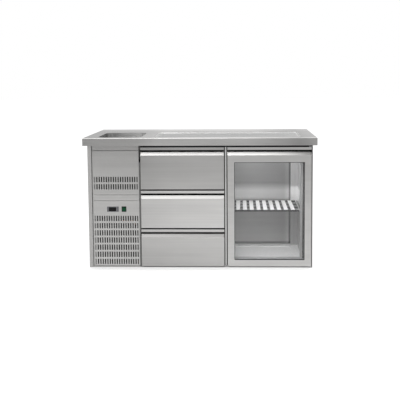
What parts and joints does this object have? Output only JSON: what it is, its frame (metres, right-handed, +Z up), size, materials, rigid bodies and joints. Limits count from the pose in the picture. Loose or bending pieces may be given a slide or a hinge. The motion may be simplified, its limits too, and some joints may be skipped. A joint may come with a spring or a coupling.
{
  "type": "refrigerated bar counter",
  "caption": "Steel bar counter with a sink, a drip tray with a lift-out grate, refrigerated drawers, a glass door and a ventilated machine section.",
  "frame": {"origin": "centre of the footprint on the floor, under the worktop's outline", "axes": "+X to the right along the width, +Y from the front to the back, +Z up"},
  "size_m": [1.5, 0.7, 0.85],
  "materials": {
    "worktop_steel": "fine horizontal grain",
    "front_steel": "fine horizontal grain",
    "body_steel": "fine vertical grain",
    "frame_steel": "satin",
    "grille_steel": "fine horizontal grain",
    "grate_steel": "satin",
    "bowl_steel": "satin",
    "liner_steel": "satin",
    "box_steel": "satin",
    "shelf_steel": "satin",
    "runner_steel": "satin",
    "waste_chrome": "polished",
    "foam": "rigid insulation foam",
    "control_grey": "satin",
    "display_black": "gloss",
    "key_grey": "satin",
    "switch_black": "satin",
    "rocker_green": "translucent",
    "fins": "plain",
    "machine_black": "satin",
    "fan_plastic": "satin",
    "copper": "plain copper",
    "glass": "clear, double",
    "seal_black": "matt"
  },
  "bodies": {
    "cabinet": {"worktop": "worktop_steel", "worktop_stiffeners": "body_steel", "sink_bowl": "bowl_steel", "sink_waste": "waste_chrome", "drip_pan": "bowl_steel", "drip_drain": "bowl_steel", "left_side_panel": "body_steel", "right_side_panel": "body_steel", "back_panel": "body_steel", "base_pan": "body_steel", "foam_walls": "foam", "liner_panels": "liner_steel", "partition_skin": "body_steel", "front_frame": "frame_steel", "mullion_trim": "frame_steel", "machine_post": "frame_steel", "top_fascia": "grille_steel", "upper_grille": "grille_steel", "panel_rail": "grille_steel", "lower_grille": "grille_steel", "controller": "control_grey", "controller_window": "display_black", "switch_housing": "switch_black", "unit_tray": "body_steel", "condenser": "fins", "fan_shroud": "machine_black", "fan_motor": "machine_black", "compressor": "machine_black", "filter_drier": "copper", "refrigerant_pipes": "copper", "evaporator": "fins", "evaporator_cover": "liner_steel", "evaporator_motor": "machine_black", "rear_post": "liner_steel", "shelf_uprights": "liner_steel", "shelf": "shelf_steel", "runner_rails": "runner_steel", "hinge_brackets": "runner_steel", "cable_gland": "switch_black"},
    "drip_grate": {"drip_grate": "grate_steel"},
    "drawer_1": {"drawer_front_1": "front_steel", "drawer_box_1": "box_steel"},
    "runner_1": {"runner_mid_1": "runner_steel"},
    "drawer_2": {"drawer_front_2": "front_steel", "drawer_box_2": "box_steel"},
    "runner_2": {"runner_mid_2": "runner_steel"},
    "drawer_3": {"drawer_front_3": "front_steel", "drawer_box_3": "box_steel"},
    "runner_3": {"runner_mid_3": "runner_steel"},
    "door": {"door_frame": "front_steel", "door_inner_frame": "liner_steel", "door_glass": "glass", "door_gasket": "seal_black"},
    "key_set": {"key_set": "key_grey"},
    "key_defrost": {"key_defrost": "key_grey"},
    "key_up": {"key_up": "key_grey"},
    "key_down": {"key_down": "key_grey"},
    "switch_rocker": {"switch_rocker": "rocker_green"},
    "condenser_fan": {"condenser_fan": "fan_plastic"},
    "evaporator_fan": {"evaporator_fan": "fan_plastic"}
  },
  "joints": [
    {"name": "drip_grate_lift", "type": "slide", "parent": "cabinet", "child": "drip_grate", "axis": [0, 0, 1], "range_m": [0, 0.12]},
    {"name": "drawer_1_slide", "type": "slide", "parent": "cabinet", "child": "drawer_1", "axis": [0, -1, 0], "range_m": [0, 0.38]},
    {"name": "runner_1_slide", "type": "slide", "parent": "cabinet", "child": "runner_1", "axis": [0, -1, 0], "range_m": [0, 0.19]},
    {"name": "drawer_2_slide", "type": "slide", "parent": "cabinet", "child": "drawer_2", "axis": [0, -1, 0], "range_m": [0, 0.38]},
    {"name": "runner_2_slide", "type": "slide", "parent": "cabinet", "child": "runner_2", "axis": [0, -1, 0], "range_m": [0, 0.19]},
    {"name": "drawer_3_slide", "type": "slide", "parent": "cabinet", "child": "drawer_3", "axis": [0, -1, 0], "range_m": [0, 0.38]},
    {"name": "runner_3_slide", "type": "slide", "parent": "cabinet", "child": "runner_3", "axis": [0, -1, 0], "range_m": [0, 0.19]},
    {"name": "door_hinge", "type": "hinge", "parent": "cabinet", "child": "door", "pos_m": [0.711, -0.313, 0.4], "axis": [0, 0, 1], "range_deg": [0, 100]},
    {"name": "key_set_press", "type": "slide", "parent": "cabinet", "child": "key_set", "axis": [0, 1, 0], "range_m": [0, 0.0008], "stiffness_N_per_m": 1500},
    {"name": "key_defrost_press", "type": "slide", "parent": "cabinet", "child": "key_defrost", "axis": [0, 1, 0], "range_m": [0, 0.0008], "stiffness_N_per_m": 1500},
    {"name": "key_up_press", "type": "slide", "parent": "cabinet", "child": "key_up", "axis": [0, 1, 0], "range_m": [0, 0.0008], "stiffness_N_per_m": 1500},
    {"name": "key_down_press", "type": "slide", "parent": "cabinet", "child": "key_down", "axis": [0, 1, 0], "range_m": [0, 0.0008], "stiffness_N_per_m": 1500},
    {"name": "switch_rock", "type": "hinge", "parent": "cabinet", "child": "switch_rocker", "pos_m": [-0.494, -0.319, 0.385], "axis": [-1, 0, 0], "range_deg": [0, 12]},
    {"name": "condenser_fan_spin", "type": "hinge", "parent": "cabinet", "child": "condenser_fan", "pos_m": [-0.5519, -0.19, 0.1395], "axis": [0, 1, 0], "continuous": true},
    {"name": "evaporator_fan_spin", "type": "hinge", "parent": "cabinet", "child": "evaporator_fan", "pos_m": [-0.17, 0.17, 0.60013], "axis": [0, 1, 0], "continuous": true}
  ],
  "couplings": [
    {"joint": "runner_1_slide", "follows": "drawer_1_slide", "ratio": 0.5},
    {"joint": "runner_2_slide", "follows": "drawer_2_slide", "ratio": 0.5},
    {"joint": "runner_3_slide", "follows": "drawer_3_slide", "ratio": 0.5}
  ]
}
